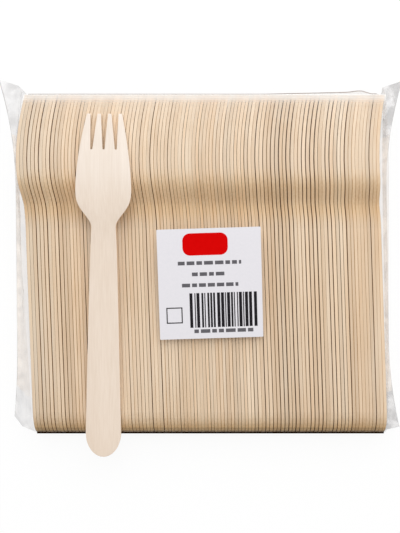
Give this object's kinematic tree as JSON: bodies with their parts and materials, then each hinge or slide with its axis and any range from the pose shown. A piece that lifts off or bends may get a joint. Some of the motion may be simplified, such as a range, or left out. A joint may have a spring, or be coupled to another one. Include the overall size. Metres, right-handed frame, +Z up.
{
  "type": "wooden cutlery pack",
  "caption": "Clear film bag holding a row of nested wooden forks on edge, with a paper sticker on the film and one loose fork lying on top.",
  "frame": {"origin": "the middle of the flat film underneath, halfway along the row of forks and halfway along a fork", "axes": "+X along the row, the way the forks' hollow sides face; +Y from the handles to the fork tips; +Z up from the table that the pack lies on"},
  "size_m": [0.1924, 0.1783, 0.0294],
  "materials": {
    "birch": "matte",
    "clear_film": "gloss",
    "sticker_paper": "satin"
  },
  "bodies": {
    "root": {"bag": "clear_film", "fork_pair_01": "birch", "fork_pair_02": "birch", "fork_pair_03": "birch", "fork_pair_04": "birch", "fork_pair_05": "birch", "fork_pair_06": "birch", "fork_pair_07": "birch", "fork_pair_08": "birch", "fork_pair_09": "birch", "fork_pair_10": "birch", "fork_pair_11": "birch", "fork_pair_12": "birch", "fork_pair_13": "birch", "fork_pair_14": "birch", "fork_pair_15": "birch", "fork_pair_16": "birch", "fork_pair_17": "birch", "fork_pair_18": "birch", "fork_pair_19": "birch", "fork_pair_20": "birch", "fork_pair_21": "birch", "fork_pair_22": "birch", "fork_pair_23": "birch", "fork_pair_24": "birch", "fork_pair_25": "birch", "fork_pair_26": "birch", "fork_pair_27": "birch", "fork_pair_28": "birch", "fork_pair_29": "birch", "fork_pair_30": "birch", "fork_pair_31": "birch", "fork_pair_32": "birch", "fork_pair_33": "birch", "fork_pair_34": "birch", "fork_pair_35": "birch", "fork_pair_36": "birch", "fork_pair_37": "birch", "fork_pair_38": "birch", "fork_pair_39": "birch", "fork_pair_40": "birch", "fork_pair_41": "birch", "fork_pair_42": "birch", "fork_pair_43": "birch", "fork_pair_44": "birch", "fork_pair_45": "birch", "fork_pair_46": "birch", "fork_pair_47": "birch", "fork_pair_48": "birch", "fork_pair_49": "birch", "fork_pair_50": "birch", "label": "sticker_paper", "loose_fork": "birch"}
  },
  "joints": []
}
